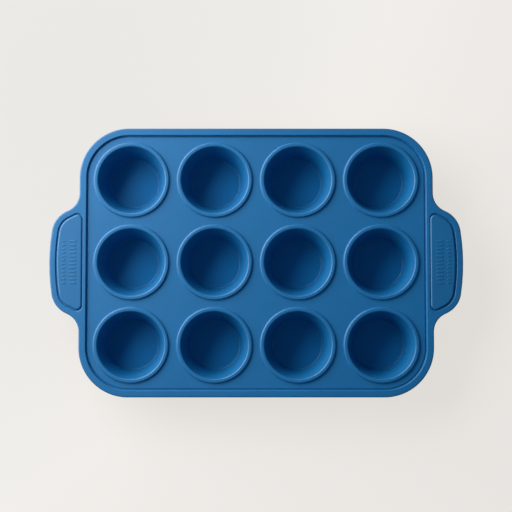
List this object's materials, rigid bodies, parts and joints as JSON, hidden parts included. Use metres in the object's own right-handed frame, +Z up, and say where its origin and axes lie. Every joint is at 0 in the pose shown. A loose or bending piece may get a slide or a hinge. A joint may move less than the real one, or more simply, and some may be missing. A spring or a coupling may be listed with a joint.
{
  "type": "silicone muffin pan",
  "caption": "Flat silicone baking pan with a grid of tapered round cups, raised lips and border, a grip handle at each end, and cup floors that push up to release a muffin.",
  "frame": {"origin": "under the middle of the pan, on the plane of the cups' feet", "axes": "+Z up out of the cups' mouths, +X along the pan from the left handle to the right one, +Y across it"},
  "size_m": [0.381, 0.2478, 0.0336],
  "materials": {
    "silicone": "satin moulded silicone",
    "grip_silicone": "matte moulded silicone",
    "frame_steel": "drawn wire"
  },
  "bodies": {
    "pan": {"deck": "silicone", "border_band": "silicone", "steel_frame": "frame_steel", "left_grip_pad": "grip_silicone", "right_grip_pad": "grip_silicone", "cup_01": "silicone", "cup_02": "silicone", "cup_03": "silicone", "cup_04": "silicone", "cup_05": "silicone", "cup_06": "silicone", "cup_07": "silicone", "cup_08": "silicone", "cup_09": "silicone", "cup_10": "silicone", "cup_11": "silicone", "cup_12": "silicone"},
    "floor_01": {"cup_floor_01": "silicone"},
    "floor_02": {"cup_floor_02": "silicone"},
    "floor_03": {"cup_floor_03": "silicone"},
    "floor_04": {"cup_floor_04": "silicone"},
    "floor_05": {"cup_floor_05": "silicone"},
    "floor_06": {"cup_floor_06": "silicone"},
    "floor_07": {"cup_floor_07": "silicone"},
    "floor_08": {"cup_floor_08": "silicone"},
    "floor_09": {"cup_floor_09": "silicone"},
    "floor_10": {"cup_floor_10": "silicone"},
    "floor_11": {"cup_floor_11": "silicone"},
    "floor_12": {"cup_floor_12": "silicone"}
  },
  "joints": [
    {"name": "push_01", "type": "slide", "parent": "pan", "child": "floor_01", "axis": [0, 0, 1], "range_m": [0, 0.015], "stiffness_N_per_m": 300},
    {"name": "push_02", "type": "slide", "parent": "pan", "child": "floor_02", "axis": [0, 0, 1], "range_m": [0, 0.015], "stiffness_N_per_m": 300},
    {"name": "push_03", "type": "slide", "parent": "pan", "child": "floor_03", "axis": [0, 0, 1], "range_m": [0, 0.015], "stiffness_N_per_m": 300},
    {"name": "push_04", "type": "slide", "parent": "pan", "child": "floor_04", "axis": [0, 0, 1], "range_m": [0, 0.015], "stiffness_N_per_m": 300},
    {"name": "push_05", "type": "slide", "parent": "pan", "child": "floor_05", "axis": [0, 0, 1], "range_m": [0, 0.015], "stiffness_N_per_m": 300},
    {"name": "push_06", "type": "slide", "parent": "pan", "child": "floor_06", "axis": [0, 0, 1], "range_m": [0, 0.015], "stiffness_N_per_m": 300},
    {"name": "push_07", "type": "slide", "parent": "pan", "child": "floor_07", "axis": [0, 0, 1], "range_m": [0, 0.015], "stiffness_N_per_m": 300},
    {"name": "push_08", "type": "slide", "parent": "pan", "child": "floor_08", "axis": [0, 0, 1], "range_m": [0, 0.015], "stiffness_N_per_m": 300},
    {"name": "push_09", "type": "slide", "parent": "pan", "child": "floor_09", "axis": [0, 0, 1], "range_m": [0, 0.015], "stiffness_N_per_m": 300},
    {"name": "push_10", "type": "slide", "parent": "pan", "child": "floor_10", "axis": [0, 0, 1], "range_m": [0, 0.015], "stiffness_N_per_m": 300},
    {"name": "push_11", "type": "slide", "parent": "pan", "child": "floor_11", "axis": [0, 0, 1], "range_m": [0, 0.015], "stiffness_N_per_m": 300},
    {"name": "push_12", "type": "slide", "parent": "pan", "child": "floor_12", "axis": [0, 0, 1], "range_m": [0, 0.015], "stiffness_N_per_m": 300}
  ]
}
